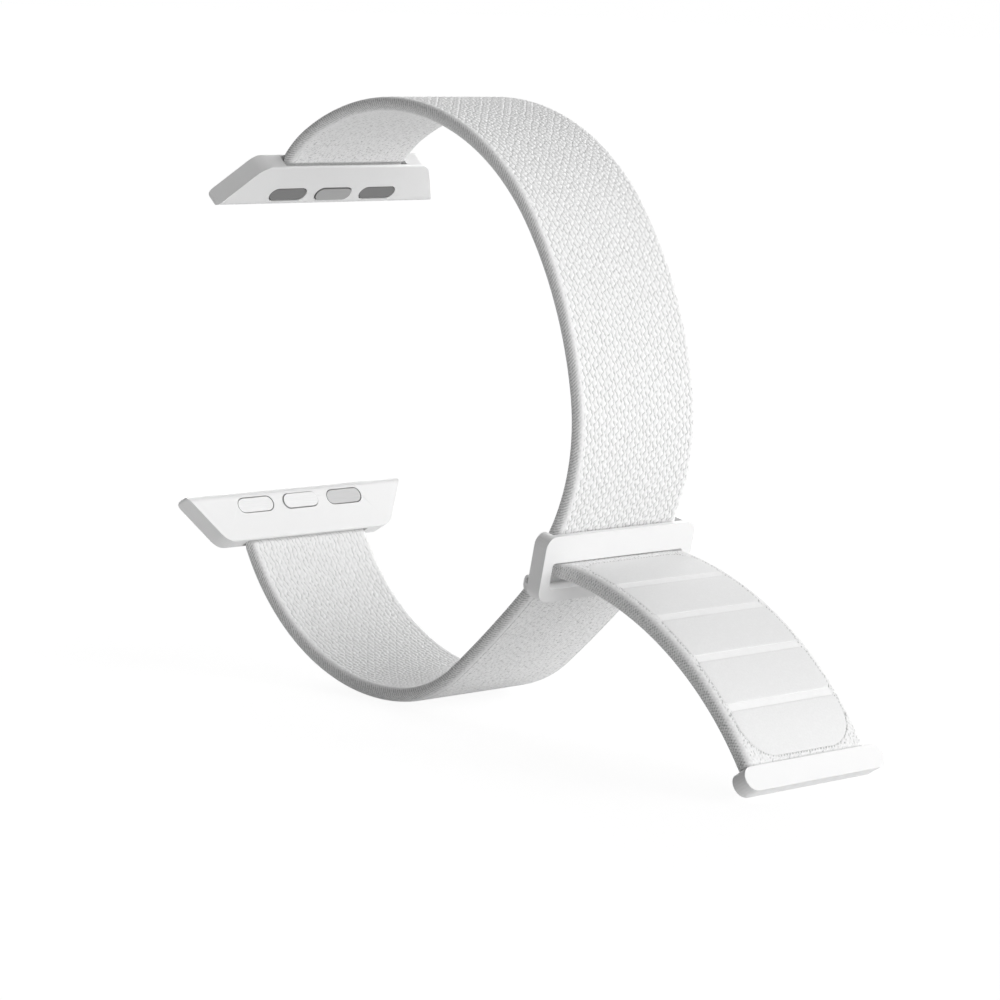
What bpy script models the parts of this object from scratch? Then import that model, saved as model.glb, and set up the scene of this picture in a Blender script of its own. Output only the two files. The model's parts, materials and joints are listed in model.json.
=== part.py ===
"""Woven nylon watch strap: two bands, a buckle, a fold-back tail and two snap-in lugs.

Lengths are in metres and angles in degrees. The strap is one flat ribbon that never
twists, so its shape is a side profile, drawn in X and Z, given its width along Y.

The profile is drawn around the buckle: X = 0 is the buckle's front face, Z = 0 is the
buckle's top edge, and +X points out, away from the wrist. At the end of the script the
whole strap is leaned back until the lower band and the tail's end cap both touch Z = 0.
"""
import math

import bmesh
import bpy
import numpy as np
from mathutils import Matrix, Vector

# Ribbon
STRAP_WIDTH = 0.0210
STRAP_THICKNESS = 0.0019
STRAP_EDGE_RADIUS = 0.0007
STRAP_EDGE_SHARE = 0.8

# Gaps between pieces
SEAT_GAP = 0.0002
PIN_PLAY = 0.0001
CUT_OVERRUN = 0.0010

# Steel pins, and the loop that the ribbon's end makes round each of them
PIN_RADIUS = 0.00035
BUCKLE_LOOP_RADIUS = 0.0010
LUG_LOOP_RADIUS = 0.00085
NECK_THICKNESS = 0.0010
NECK_LENGTH = 0.0026
NECK_FLARE = 0.0006

# Buckle
BUCKLE_LENGTH = 0.0262
BUCKLE_HEIGHT = 0.0085
BUCKLE_DEPTH = 0.0022
BUCKLE_CORNER_RADIUS = 0.0015
BUCKLE_EDGE_RADIUS = 0.0003
TOP_BAR_HEIGHT = 0.0035
TOP_BAR_DEPTH = 0.0008
SLOT_HEIGHT = 0.0034
SLOT_LENGTH = 0.0230
SLOT_CORNER_RADIUS = 0.0004
EAR_RADIUS = 0.0008
EAR_RISE = 0.0002

# Upper band, followed from behind the buckle's top bar to the upper lug
UPPER_BAND_SETBACK = 0.00265
UPPER_BAND_DROP = 0.0018
UPPER_BAND_HEADING = 69.0
SIDE_RADIUS = 0.0266
SIDE_SWEEP = 42.5
SHOULDER_RADIUS = 0.0497
SHOULDER_SWEEP = 26.0
CROWN_RADIUS = 0.0320
CROWN_SWEEP = 85.0
UPPER_END_RADIUS = 0.0158
UPPER_LUG_HEADING = 241.0

# Turn of the upper band under the top bar and out through the slot
TURN_RUN_IN = 0.0005
TURN_RADIUS = 0.0018
TURN_SETBACK = 0.0004

# Lower band, followed from its pin behind the buckle's lower bar to the lower lug
LOWER_PIN_SETBACK = 0.00345
LOWER_PIN_DROP = 0.0069
LOWER_BAND_HEADING = -121.9
LOWER_RUN_RADIUS = 0.1850
LOWER_RUN_SWEEP = 6.3
LOWER_BEND_RADIUS = 0.0199
LOWER_BEND_SWEEP = 32.0
BASE_RADIUS = 0.0306
LOWER_LUG_HEADING = -229.5

# Tail, an arc that droops from the slot to the end cap
TAIL_RADIUS = 0.0436
TAIL_HEADING = 5.35
TAIL_LEAD = 0.00185
TAIL_JOINT_GAP = 0.0004
FOLD_PIVOT_OUT = 0.0008
FOLD_PIVOT_CLEARANCE = 0.00015

# Hook patches on the tail
PATCH_COUNT = 5
PATCH_PITCH = 0.00728
PATCH_SPACING = 0.00095
PATCH_WIDTH = 0.0186
PATCH_THICKNESS = 0.0003
PATCH_SEAT_GAP = 0.0001
PATCH_CORNER_RADIUS = 0.0007
PATCH_FIRST_CORNER_RADIUS = 0.0030
PATCH_LAST_CORNER_RADIUS = 0.0046

# End cap
CAP_LENGTH = 0.0246
CAP_WIDTH = 0.0031
CAP_THICKNESS = 0.0023
CAP_RISE = 0.0006
CAP_POCKET_DEPTH = 0.0020
CAP_TAIL_MARGIN = 0.0008
TONGUE_THICKNESS = 0.0012

# Lugs
LUG_WIDE_LENGTH = 0.0386
LUG_NARROW_LENGTH = 0.0288
LUG_THICKNESS = 0.0027
LUG_DEPTH = 0.0072
LUG_CORNER_RADIUS = 0.0028
LUG_TIP_RADIUS = 0.0004
LUG_STRAP_EDGE_RADIUS = 0.0003
LUG_WATCH_EDGE_RADIUS = 0.00115
LUG_PIN_INSET = 0.0021
LUG_PIN_REACH = 0.0013
LUG_MOUTH_THROAT = 0.0015
LUG_MOUTH_FLARE = 10.0
LUG_CHANNEL_GAP = 0.00015

# Pill-shaped pads and the spring catch on a lug's inner face
PILL_LENGTH = 0.0060
PILL_WIDTH = 0.0020
PILL_PITCH = 0.0079
PILL_EDGE_DISTANCE = 0.00225
PILL_GAP = 0.00015
PAD_THICKNESS = 0.0008
PAD_RECESS = 0.00005
CATCH_PROUD = 0.00015
CATCH_WINDOW_DEPTH = 0.00055
CATCH_FLANGE_LIP = 0.0005
CATCH_FLANGE_THICKNESS = 0.0004
CATCH_FLANGE_GAP = 0.00005
LUG_BACK_WALL = 0.0006
SPRING_THICKNESS = 0.00015
SPRING_WIDTH = 0.0014
SPRING_END_GAP = 0.0003

# Smoothness
ARC_STEP = 3.0
ROUND_STEPS = 24
CORNER_STEPS = 3
SPRING_STEPS = 12


def arc_points(centre, radius, start, end, steps):
    """Points on a circle from one angle to another, both included."""
    angles = np.radians(np.linspace(start, end, steps + 1))
    return [(centre[0] + radius * math.cos(a), centre[1] + radius * math.sin(a)) for a in angles]


def circle_outline(centre, radius):
    """A full circle, its last point left off because it repeats the first."""
    return arc_points(centre, radius, 0.0, 360.0, ROUND_STEPS)[:-1]


def rounded_polygon(corners, radii, steps=CORNER_STEPS):
    """Outline with each corner replaced by an arc that is tangent to both of its sides."""
    outline = []
    for index, corner in enumerate(corners):
        point = Vector(corner)
        before = (Vector(corners[index - 1]) - point).normalized()
        after = (Vector(corners[(index + 1) % len(corners)]) - point).normalized()
        radius = radii[index]
        if not radius:
            outline.append(tuple(point))
            continue
        half_angle = before.angle(after) / 2
        centre = point + (before + after).normalized() * (radius / math.sin(half_angle))
        from_centre = point + before * (radius / math.tan(half_angle)) - centre
        to_centre = point + after * (radius / math.tan(half_angle)) - centre
        turn = from_centre.angle_signed(to_centre)
        for step in range(steps + 1):
            outline.append(tuple(centre + Matrix.Rotation(-turn * step / steps, 2) @ from_centre))
    return outline


def rectangle(low_p, high_p, low_q, high_q):
    """Four corners of a rectangle, counter-clockwise."""
    return [(low_p, low_q), (high_p, low_q), (high_p, high_q), (low_p, high_q)]


def pill_outline(centre, length, width):
    """A pill lying along the second coordinate, with half circles for its ends."""
    run = (length - width) / 2
    ends = ROUND_STEPS // 2
    first = arc_points((centre[0], centre[1] + run), width / 2, 0.0, 180.0, ends)
    second = arc_points((centre[0], centre[1] - run), width / 2, 180.0, 360.0, ends)
    return first + second


def prism(outline, axis, low, high):
    """Mesh of an outline pulled along one axis. The outline holds the other two coordinates."""
    place = {
        "X": lambda p, q, h: (h, p, q),
        "Y": lambda p, q, h: (p, h, q),
        "Z": lambda p, q, h: (p, q, h),
    }[axis]
    shape = bmesh.new()
    bottom = [shape.verts.new(place(p, q, low)) for p, q in outline]
    top = [shape.verts.new(place(p, q, high)) for p, q in outline]
    count = len(outline)
    shape.faces.new(bottom)
    shape.faces.new(top)
    for index in range(count):
        after = (index + 1) % count
        shape.faces.new((bottom[index], bottom[after], top[after], top[index]))
    return finished_mesh(shape)


def finished_mesh(shape):
    """Turn every face outward and hand the shape over as a mesh."""
    bmesh.ops.recalc_face_normals(shape, faces=shape.faces)
    mesh = bpy.data.meshes.new("shape")
    shape.to_mesh(mesh)
    shape.free()
    return mesh


def combined(base, other, operation):
    """Result of one Boolean between two closed meshes."""
    scene = bpy.context.scene
    base_object = bpy.data.objects.new("base", base)
    other_object = bpy.data.objects.new("other", other)
    for item in (base_object, other_object):
        scene.collection.objects.link(item)
    modifier = base_object.modifiers.new("combine", "BOOLEAN")
    modifier.operation = operation
    modifier.solver = "EXACT"
    modifier.object = other_object
    evaluated = base_object.evaluated_get(bpy.context.evaluated_depsgraph_get())
    result = bpy.data.meshes.new_from_object(evaluated)
    for item in (base_object, other_object):
        bpy.data.objects.remove(item)
    return result


def with_cuts(base, cutters):
    """A mesh with several shapes cut out of it."""
    for cutter in cutters:
        base = combined(base, cutter, "DIFFERENCE")
    return base


def follow(start, heading, stretches):
    """Stations along tangent arcs, as (x, z, heading). A positive sweep turns left."""
    x, z = start
    stations = [(x, z, heading)]
    for radius, sweep in stretches:
        side = math.copysign(1.0, sweep)
        angle = math.radians(heading)
        centre_x = x - side * radius * math.sin(angle)
        centre_z = z + side * radius * math.cos(angle)
        steps = max(1, math.ceil(abs(sweep) / ARC_STEP))
        for step in range(1, steps + 1):
            turned = heading + sweep * step / steps
            angle = math.radians(turned)
            x = centre_x + side * radius * math.sin(angle)
            z = centre_z - side * radius * math.cos(angle)
            stations.append((x, z, turned))
        heading = heading + sweep
    return stations


def ahead(station, distance):
    """The station moved straight along its own heading, or back where it is negative."""
    x, z, heading = station
    angle = math.radians(heading)
    return (x + distance * math.cos(angle), z + distance * math.sin(angle), heading)


def ribbon(stations, half_thicknesses):
    """The ribbon's rounded section carried along the stations, with flat ends."""
    shape = bmesh.new()
    rings = []
    for (x, z, heading), half in zip(stations, half_thicknesses):
        radius = min(STRAP_EDGE_RADIUS, STRAP_EDGE_SHARE * half)
        side = STRAP_WIDTH / 2
        section = rounded_polygon(rectangle(-side, side, -half, half), [radius] * 4)
        angle = math.radians(heading)
        normal = (-math.sin(angle), math.cos(angle))
        ring = [shape.verts.new((x + n * normal[0], y, z + n * normal[1])) for y, n in section]
        rings.append(ring)
    count = len(rings[0])
    for lower, upper in zip(rings, rings[1:]):
        for index in range(count):
            after = (index + 1) % count
            shape.faces.new((lower[index], lower[after], upper[after], upper[index]))
    shape.faces.new(rings[0])
    shape.faces.new(rings[-1])
    return finished_mesh(shape)


def with_pin_loop(mesh, centre, radius):
    """The ribbon's end with a round loop on it, bored for a pin."""
    side = STRAP_WIDTH / 2
    loop = prism(circle_outline(centre, radius), "Y", -side, side)
    bore_radius = PIN_RADIUS + PIN_PLAY
    bore = prism(circle_outline(centre, bore_radius), "Y", -side - CUT_OVERRUN, side + CUT_OVERRUN)
    return with_cuts(combined(mesh, loop, "UNION"), [bore])


def upper_band_start():
    """Station behind the top bar where the band's two stretches meet."""
    return (-UPPER_BAND_SETBACK, -UPPER_BAND_DROP, UPPER_BAND_HEADING)


def upper_band_path():
    """Stations from behind the top bar, over the ring's top, to the pin in the upper lug."""
    last_sweep = UPPER_LUG_HEADING - UPPER_BAND_HEADING - SIDE_SWEEP - SHOULDER_SWEEP - CROWN_SWEEP
    x, z, heading = upper_band_start()
    stretches = [
        (SIDE_RADIUS, SIDE_SWEEP),
        (SHOULDER_RADIUS, SHOULDER_SWEEP),
        (CROWN_RADIUS, CROWN_SWEEP),
        (UPPER_END_RADIUS, last_sweep),
    ]
    return follow((x, z), heading, stretches)


def slot_turn_path():
    """Stations from behind the top bar down and out through the slot."""
    x, z, heading = ahead(upper_band_start(), -TURN_RUN_IN)
    sweep = TAIL_HEADING + 180.0 - UPPER_BAND_HEADING
    turn = follow((x, z), heading - 180.0, [(TURN_RADIUS, sweep)])
    mouth = turn[-1]
    run = (-TURN_SETBACK - mouth[0]) / math.cos(math.radians(TAIL_HEADING))
    return turn + [ahead(mouth, run)]


def lower_band_path():
    """Stations from the buckle's pin, under the wrist, to the pin in the lower lug."""
    last_sweep = LOWER_BAND_HEADING - LOWER_LUG_HEADING - LOWER_RUN_SWEEP - LOWER_BEND_SWEEP
    start = (-LOWER_PIN_SETBACK, -LOWER_PIN_DROP)
    stretches = [
        (LOWER_RUN_RADIUS, -LOWER_RUN_SWEEP),
        (LOWER_BEND_RADIUS, -LOWER_BEND_SWEEP),
        (BASE_RADIUS, -last_sweep),
    ]
    return follow(start, LOWER_BAND_HEADING, stretches)


def tail_start():
    """Station where the tail's arc begins, at the slot's mouth."""
    mouth = slot_turn_path()[-1]
    return ahead(mouth, -mouth[0] / math.cos(math.radians(TAIL_HEADING)))


def tail_station(distance):
    """Station on the tail's arc at a distance from the buckle's front face."""
    sweep = math.degrees(distance / TAIL_RADIUS)
    x, z, heading = tail_start()
    return follow((x, z), heading, [(TAIL_RADIUS, -sweep)])[-1]


def offset_point(station, distance):
    """Point beside a station, to the left of its heading."""
    x, z, heading = station
    angle = math.radians(heading)
    return (x - distance * math.sin(angle), z + distance * math.cos(angle))


def lug_pin_station(band_path):
    """Centre of a lug's pin, just past the band's last station."""
    return ahead(band_path[-1], NECK_LENGTH)


def band_thicknesses(path, neck_count):
    """Half thickness at each station, thin over the last ones that pass the lug's mouth."""
    full = STRAP_THICKNESS / 2
    return [full] * (len(path) - neck_count) + [NECK_THICKNESS / 2] * neck_count


def upper_band_mesh():
    """Band from the slot to the loop round the upper lug's pin."""
    path = upper_band_path()
    pin = lug_pin_station(path)
    neck = [ahead(path[-1], NECK_FLARE), pin]
    stations = slot_turn_path()[::-1]
    stations = [(x, z, heading + 180.0) for x, z, heading in stations] + path + neck
    mesh = ribbon(stations, band_thicknesses(stations, len(neck)))
    return with_pin_loop(mesh, pin[:2], LUG_LOOP_RADIUS)


def lower_band_mesh():
    """Band from the loop round the buckle's pin to the loop round the lower lug's pin."""
    path = lower_band_path()
    pin = lug_pin_station(path)
    neck = [ahead(path[-1], NECK_FLARE), pin]
    mesh = ribbon(path + neck, band_thicknesses(path + neck, len(neck)))
    mesh = with_pin_loop(mesh, path[0][:2], BUCKLE_LOOP_RADIUS)
    return with_pin_loop(mesh, pin[:2], LUG_LOOP_RADIUS)


def tail_joint_distances():
    """Distances along the tail at which it bends: midway between the hook patches."""
    return [TAIL_LEAD + index * PATCH_PITCH for index in range(1, PATCH_COUNT)]


def patch_span(index):
    """First and last distance of one hook patch."""
    first = TAIL_LEAD + index * PATCH_PITCH + PATCH_SPACING / 2
    return first, first + PATCH_PITCH - PATCH_SPACING


def cap_start():
    """Distance from the buckle's front face to the end cap."""
    return patch_span(PATCH_COUNT - 1)[1] + CAP_TAIL_MARGIN


def tail_length():
    """Distance from the buckle's front face to the tail's end, at the floor of the cap's pocket."""
    return cap_start() + CAP_POCKET_DEPTH - SEAT_GAP


def tail_segment_span(index):
    """First and last distance of one stretch of the tail."""
    joints = tail_joint_distances()
    half_gap = TAIL_JOINT_GAP / 2
    first = joints[index - 1] + half_gap if index else half_gap
    last = joints[index] - half_gap if index < PATCH_COUNT - 1 else tail_length()
    return first, last


def tail_segment_mesh(index):
    """One stretch of the tail, between two of its bends."""
    first, last = tail_segment_span(index)
    if index == PATCH_COUNT - 1:
        last = cap_start() - SEAT_GAP
    steps = math.ceil(math.degrees((last - first) / TAIL_RADIUS) / ARC_STEP)
    stations = [tail_station(distance) for distance in np.linspace(first, last, steps + 1)]
    thicknesses = [STRAP_THICKNESS / 2] * len(stations)
    if index == PATCH_COUNT - 1:
        tongue_root = raised(tail_station(cap_start()))
        reach = tail_length() - cap_start()
        stations += [tongue_root, ahead(tongue_root, reach)]
        thicknesses += [TONGUE_THICKNESS / 2] * 2
    return ribbon(stations, thicknesses)


def raised(station):
    """A station moved away from the wrist by as much as the end cap is."""
    x, z = offset_point(station, CAP_RISE)
    return (x, z, station[2])


def hook_patch_mesh(index):
    """One hook patch: a thin rounded plate, bent to the tail's arc."""
    first, last = patch_span(index)
    side = PATCH_WIDTH / 2
    start_radius = PATCH_FIRST_CORNER_RADIUS if index == 0 else PATCH_CORNER_RADIUS
    end_radius = PATCH_LAST_CORNER_RADIUS if index == PATCH_COUNT - 1 else PATCH_CORNER_RADIUS
    radii = [start_radius, end_radius, end_radius, start_radius]
    outline = rounded_polygon(rectangle(first, last, -side, side), radii, ROUND_STEPS // 4)
    low = STRAP_THICKNESS / 2 + PATCH_SEAT_GAP
    flat = prism(outline, "Z", low, low + PATCH_THICKNESS)
    shape = bmesh.new()
    shape.from_mesh(flat)
    steps = math.ceil(math.degrees((last - first) / TAIL_RADIUS) / ARC_STEP)
    for distance in np.linspace(first, last, steps + 1)[1:-1]:
        geometry = shape.verts[:] + shape.edges[:] + shape.faces[:]
        bmesh.ops.bisect_plane(
            shape,
            geom=geometry,
            plane_co=(distance, 0.0, 0.0),
            plane_no=(1.0, 0.0, 0.0),
        )
    for vertex in shape.verts:
        distance, y, height = vertex.co
        x, z = offset_point(tail_station(distance), height)
        vertex.co = (x, y, z)
    return finished_mesh(shape)


def end_cap_mesh():
    """Bar across the tail's end, round at both ends, with a pocket that the tail sits in."""
    half = CAP_THICKNESS / 2
    outline = pill_outline((CAP_WIDTH / 2, 0.0), CAP_LENGTH, CAP_WIDTH)
    body = prism(outline, "Z", -half, half)
    pocket_side = STRAP_WIDTH / 2 + SEAT_GAP
    pocket_half = TONGUE_THICKNESS / 2 + SEAT_GAP
    pocket_outline = rectangle(-pocket_side, pocket_side, -pocket_half, pocket_half)
    pocket = prism(pocket_outline, "X", -CUT_OVERRUN, CAP_POCKET_DEPTH)
    mesh = with_cuts(body, [pocket])
    mesh.transform(station_matrix(raised(tail_station(cap_start()))))
    return mesh


def station_matrix(station):
    """Placement with X along a station's heading and Z to the left of it."""
    x, z, heading = station
    return Matrix.Translation((x, 0.0, z)) @ Matrix.Rotation(-math.radians(heading), 4, "Y")


def buckle_mesh():
    """Ring of a thin top bar, two deep side walls and a lower bar with two ears behind it."""
    side = BUCKLE_LENGTH / 2
    outline = rounded_polygon(
        rectangle(-side, side, -BUCKLE_HEIGHT, 0.0),
        [BUCKLE_CORNER_RADIUS] * 4,
        ROUND_STEPS // 4,
    )
    block = prism(outline, "X", -BUCKLE_DEPTH, 0.0)
    slot_side = SLOT_LENGTH / 2
    slot_low = -TOP_BAR_HEIGHT - SLOT_HEIGHT
    slot_outline = rounded_polygon(
        rectangle(-slot_side, slot_side, slot_low, -TOP_BAR_HEIGHT),
        [SLOT_CORNER_RADIUS] * 4,
    )
    slot = prism(slot_outline, "X", -BUCKLE_DEPTH - CUT_OVERRUN, CUT_OVERRUN)
    recess_low = -TOP_BAR_HEIGHT - SLOT_HEIGHT / 2
    recess_outline = rectangle(-slot_side, slot_side, recess_low, CUT_OVERRUN)
    recess = prism(recess_outline, "X", -BUCKLE_DEPTH - CUT_OVERRUN, -TOP_BAR_DEPTH)
    frame = with_cuts(block, [slot, recess])
    for sign in (-1.0, 1.0):
        frame = combined(frame, buckle_ear(sign), "UNION")
    reach = SLOT_LENGTH / 2 + CUT_OVERRUN
    bore = prism(circle_outline(lower_pin_centre(), PIN_RADIUS + PIN_PLAY), "Y", -reach, reach)
    return with_cuts(frame, [bore])


def lower_pin_centre():
    """Centre of the pin that carries the lower band."""
    return (-LOWER_PIN_SETBACK, -LOWER_PIN_DROP)


def buckle_ear(sign):
    """One ear that holds an end of the pin, its root set into the lower bar."""
    centre = lower_pin_centre()
    low = EAR_RISE - BUCKLE_HEIGHT
    high = centre[1] + EAR_RADIUS
    root = -BUCKLE_DEPTH / 2
    back = centre[0] - EAR_RADIUS
    corners = rectangle(back, root, low, high)
    outline = rounded_polygon(corners, [EAR_RADIUS, 0.0, 0.0, EAR_RADIUS], ROUND_STEPS // 4)
    inner = sign * (STRAP_WIDTH / 2 + SEAT_GAP)
    outer = sign * (SLOT_LENGTH / 2 + SEAT_GAP)
    return prism(outline, "Y", min(inner, outer), max(inner, outer))


def lug_body_mesh():
    """Lug in its own frame: X towards the watch, Z out of the ring, the pin at zero."""
    half = LUG_THICKNESS / 2
    strap_edge = -LUG_PIN_INSET
    watch_edge = strap_edge + LUG_DEPTH
    section = rounded_polygon(
        rectangle(strap_edge, watch_edge, -half, half),
        [
            LUG_STRAP_EDGE_RADIUS,
            LUG_WATCH_EDGE_RADIUS,
            LUG_WATCH_EDGE_RADIUS,
            LUG_STRAP_EDGE_RADIUS,
        ],
        ROUND_STEPS // 3,
    )
    side = LUG_WIDE_LENGTH / 2
    bar = prism(section, "Y", -side - CUT_OVERRUN, side + CUT_OVERRUN)
    narrow = LUG_NARROW_LENGTH / 2
    plan = rounded_polygon(
        [(strap_edge, -narrow), (watch_edge, -side), (watch_edge, side), (strap_edge, narrow)],
        [LUG_CORNER_RADIUS, LUG_TIP_RADIUS, LUG_TIP_RADIUS, LUG_CORNER_RADIUS],
        ROUND_STEPS // 3,
    )
    body = combined(bar, prism(plan, "Z", -half - CUT_OVERRUN, half + CUT_OVERRUN), "INTERSECT")
    cutters = [lug_channel_cutter(), lug_pin_cutter()]
    cutters += [pad_pocket_cutter(place) for place in (-PILL_PITCH, PILL_PITCH)]
    cutters += catch_pocket_cutters()
    return with_cuts(body, cutters)


def lug_channel_cutter():
    """Keyhole channel for the band's loop: a round bore whose mouth flares to the strap edge."""
    radius = LUG_LOOP_RADIUS + LUG_CHANNEL_GAP
    throat = LUG_MOUTH_THROAT / 2
    throat_angle = math.degrees(math.asin(throat / radius))
    reach = LUG_PIN_INSET + CUT_OVERRUN
    throat_depth = radius * math.cos(math.radians(throat_angle))
    mouth = throat + (reach - throat_depth) * math.tan(math.radians(LUG_MOUTH_FLARE))
    bore = arc_points((0.0, 0.0), radius, -180.0 + throat_angle, 180.0 - throat_angle, ROUND_STEPS)
    outline = bore + [(-reach, mouth), (-reach, -mouth)]
    side = STRAP_WIDTH / 2 + SEAT_GAP
    return prism(outline, "Y", -side, side)


def lug_pin_half_length():
    """The pin reaches past the channel into the lug at both ends."""
    return STRAP_WIDTH / 2 + SEAT_GAP + LUG_PIN_REACH


def lug_pin_cutter():
    """Blind bore for the pin's two ends."""
    reach = lug_pin_half_length() + PIN_PLAY
    return prism(circle_outline((0.0, 0.0), PIN_RADIUS + PIN_PLAY), "Y", -reach, reach)


def pill_row_place():
    """Where the row of pills runs, along the lug's depth."""
    return LUG_DEPTH - LUG_PIN_INSET - PILL_EDGE_DISTANCE


def pad_pocket_cutter(place):
    """Shallow pill-shaped pocket in the lug's inner face."""
    face = -LUG_THICKNESS / 2
    outline = pill_outline(
        (pill_row_place(), place),
        PILL_LENGTH + 2 * PILL_GAP,
        PILL_WIDTH + 2 * PILL_GAP,
    )
    floor = face + PAD_RECESS + PAD_THICKNESS + PILL_GAP
    return prism(outline, "Z", face - CUT_OVERRUN, floor)


def catch_pocket_cutters():
    """Window for the catch's head, and behind it a longer room for its flange and spring."""
    face = -LUG_THICKNESS / 2
    centre = (pill_row_place(), 0.0)
    width = PILL_WIDTH + 2 * PILL_GAP
    window = pill_outline(centre, PILL_LENGTH + 2 * PILL_GAP, width)
    room = pill_outline(centre, PILL_LENGTH + 2 * CATCH_FLANGE_LIP + 2 * PILL_GAP, width)
    room_floor = LUG_THICKNESS / 2 - LUG_BACK_WALL
    return [
        prism(window, "Z", face - CUT_OVERRUN, 0.0),
        prism(room, "Z", face + CATCH_WINDOW_DEPTH, room_floor),
    ]


def lug_pad_mesh(place):
    """Fixed pill-shaped pad, just below the lug's inner face."""
    low = -LUG_THICKNESS / 2 + PAD_RECESS
    outline = pill_outline((pill_row_place(), place), PILL_LENGTH, PILL_WIDTH)
    return prism(outline, "Z", low, low + PAD_THICKNESS)


def catch_flange_span():
    """Lowest and highest place of the catch's flange at rest."""
    low = -LUG_THICKNESS / 2 + CATCH_WINDOW_DEPTH + CATCH_FLANGE_GAP
    return low, low + CATCH_FLANGE_THICKNESS


def catch_mesh():
    """Spring catch: a pill-shaped head with a longer flange that keeps it in its window."""
    low, high = catch_flange_span()
    centre = (pill_row_place(), 0.0)
    tip = -LUG_THICKNESS / 2 - CATCH_PROUD
    head = prism(pill_outline(centre, PILL_LENGTH, PILL_WIDTH), "Z", tip, high)
    flange = pill_outline(centre, PILL_LENGTH + 2 * CATCH_FLANGE_LIP, PILL_WIDTH)
    return combined(head, prism(flange, "Z", low, high), "UNION")


def catch_spring_mesh():
    """Bowed leaf spring between the catch and the back wall of its room."""
    floor = LUG_THICKNESS / 2 - LUG_BACK_WALL - CATCH_FLANGE_GAP
    crown = catch_flange_span()[1] + CATCH_FLANGE_GAP
    half = PILL_LENGTH / 2 - SPRING_END_GAP
    rise = floor - crown - SPRING_THICKNESS
    places = np.linspace(-half, half, SPRING_STEPS + 1)
    under = [(y, crown + SPRING_THICKNESS + rise * (y / half) ** 2) for y in places]
    over = [(y, z - SPRING_THICKNESS) for y, z in under]
    low = pill_row_place() - SPRING_WIDTH / 2
    return prism(under + over[::-1], "X", low, low + SPRING_WIDTH)


def lug_pin_mesh():
    """Steel pin through the band's loop, held at both ends by the lug."""
    reach = lug_pin_half_length()
    return prism(circle_outline((0.0, 0.0), PIN_RADIUS), "Y", -reach, reach)


def buckle_pin_mesh():
    """Steel pin through the lower band's loop, held by the buckle's ears."""
    reach = SLOT_LENGTH / 2
    return prism(circle_outline(lower_pin_centre(), PIN_RADIUS), "Y", -reach, reach)


def lug_matrix(band_path, outside):
    """Placement of a lug: X along the band's end, Z to the outside, which is 1 for the left."""
    pin = lug_pin_station(band_path)
    x_axis = Vector((math.cos(math.radians(pin[2])), 0.0, math.sin(math.radians(pin[2]))))
    z_axis = Vector((-x_axis.z, 0.0, x_axis.x)) * outside
    y_axis = z_axis.cross(x_axis)
    turn = Matrix((x_axis, y_axis, z_axis)).transposed().to_4x4()
    return Matrix.Translation((pin[0], 0.0, pin[1])) @ turn


def material(name, colour, roughness, metallic=0.0):
    """Principled material with one colour."""
    result = bpy.data.materials.new(name)
    result.use_nodes = True
    shader = result.node_tree.nodes["Principled BSDF"]
    shader.inputs["Base Color"].default_value = (*colour, 1.0)
    shader.inputs["Roughness"].default_value = roughness
    shader.inputs["Metallic"].default_value = metallic
    return result


def joint_empty(name, parent, place):
    """Empty on a joint's axis. Place is in the profile's coordinates."""
    empty = bpy.data.objects.new(name, None)
    empty.empty_display_size = STRAP_THICKNESS
    empty["place"] = tuple(place)
    bpy.context.scene.collection.objects.link(empty)
    empty.parent = parent
    origin = Vector(parent["place"]) if parent else Vector()
    empty.location = Vector(place) - origin
    return empty


def add_piece(name, mesh, surface, carrier, smooth_angle=35.0):
    """Object of one piece, its mesh moved so that its origin is its carrier's."""
    mesh.transform(Matrix.Translation(-Vector(carrier["place"])))
    mesh.name = name
    mesh.materials.clear()
    mesh.materials.append(surface)
    mesh.shade_smooth()
    mesh.set_sharp_from_angle(angle=math.radians(smooth_angle))
    piece = bpy.data.objects.new(name, mesh)
    bpy.context.scene.collection.objects.link(piece)
    piece.parent = carrier
    return piece


def add_lug(prefix, matrix, band_carrier, surfaces):
    """A lug with its pads, catch, spring and pin, on a swivel at the pin's axis."""
    swivel = joint_empty(prefix + "_lug_swivel", band_carrier, matrix.translation)
    slide = joint_empty(prefix + "_catch_press", swivel, matrix.translation)
    near_first = 1.0 if matrix.col[1].y < 0.0 else -1.0
    pieces = [
        ("_lug_body", lug_body_mesh(), surfaces["plastic"], swivel),
        ("_lug_near_pad", lug_pad_mesh(near_first * PILL_PITCH), surfaces["pad"], swivel),
        ("_lug_far_pad", lug_pad_mesh(-near_first * PILL_PITCH), surfaces["pad"], swivel),
        ("_lug_pin", lug_pin_mesh(), surfaces["steel"], swivel),
        ("_catch_spring", catch_spring_mesh(), surfaces["steel"], swivel),
        ("_catch", catch_mesh(), surfaces["pad"], slide),
    ]
    for suffix, mesh, surface, carrier in pieces:
        mesh.transform(matrix)
        add_piece(prefix + suffix, mesh, surface, carrier)


def add_tail(root, surfaces):
    """Tail stretches, each on the bend before it, with their hook patches and the end cap."""
    pivot_drop = TOP_BAR_HEIGHT + FOLD_PIVOT_CLEARANCE
    carrier = joint_empty("tail_fold", root, (FOLD_PIVOT_OUT, 0.0, -pivot_drop))
    for index in range(PATCH_COUNT):
        if index:
            station = tail_station(tail_joint_distances()[index - 1])
            x, z = offset_point(station, STRAP_THICKNESS / 2)
            carrier = joint_empty(f"tail_bend_{index}", carrier, (x, 0.0, z))
        number = index + 1
        add_piece(f"tail_{number}", tail_segment_mesh(index), surfaces["nylon"], carrier)
        add_piece(f"hook_patch_{number}", hook_patch_mesh(index), surfaces["hooks"], carrier)
    add_piece("end_cap", end_cap_mesh(), surfaces["plastic"], carrier)


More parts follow.
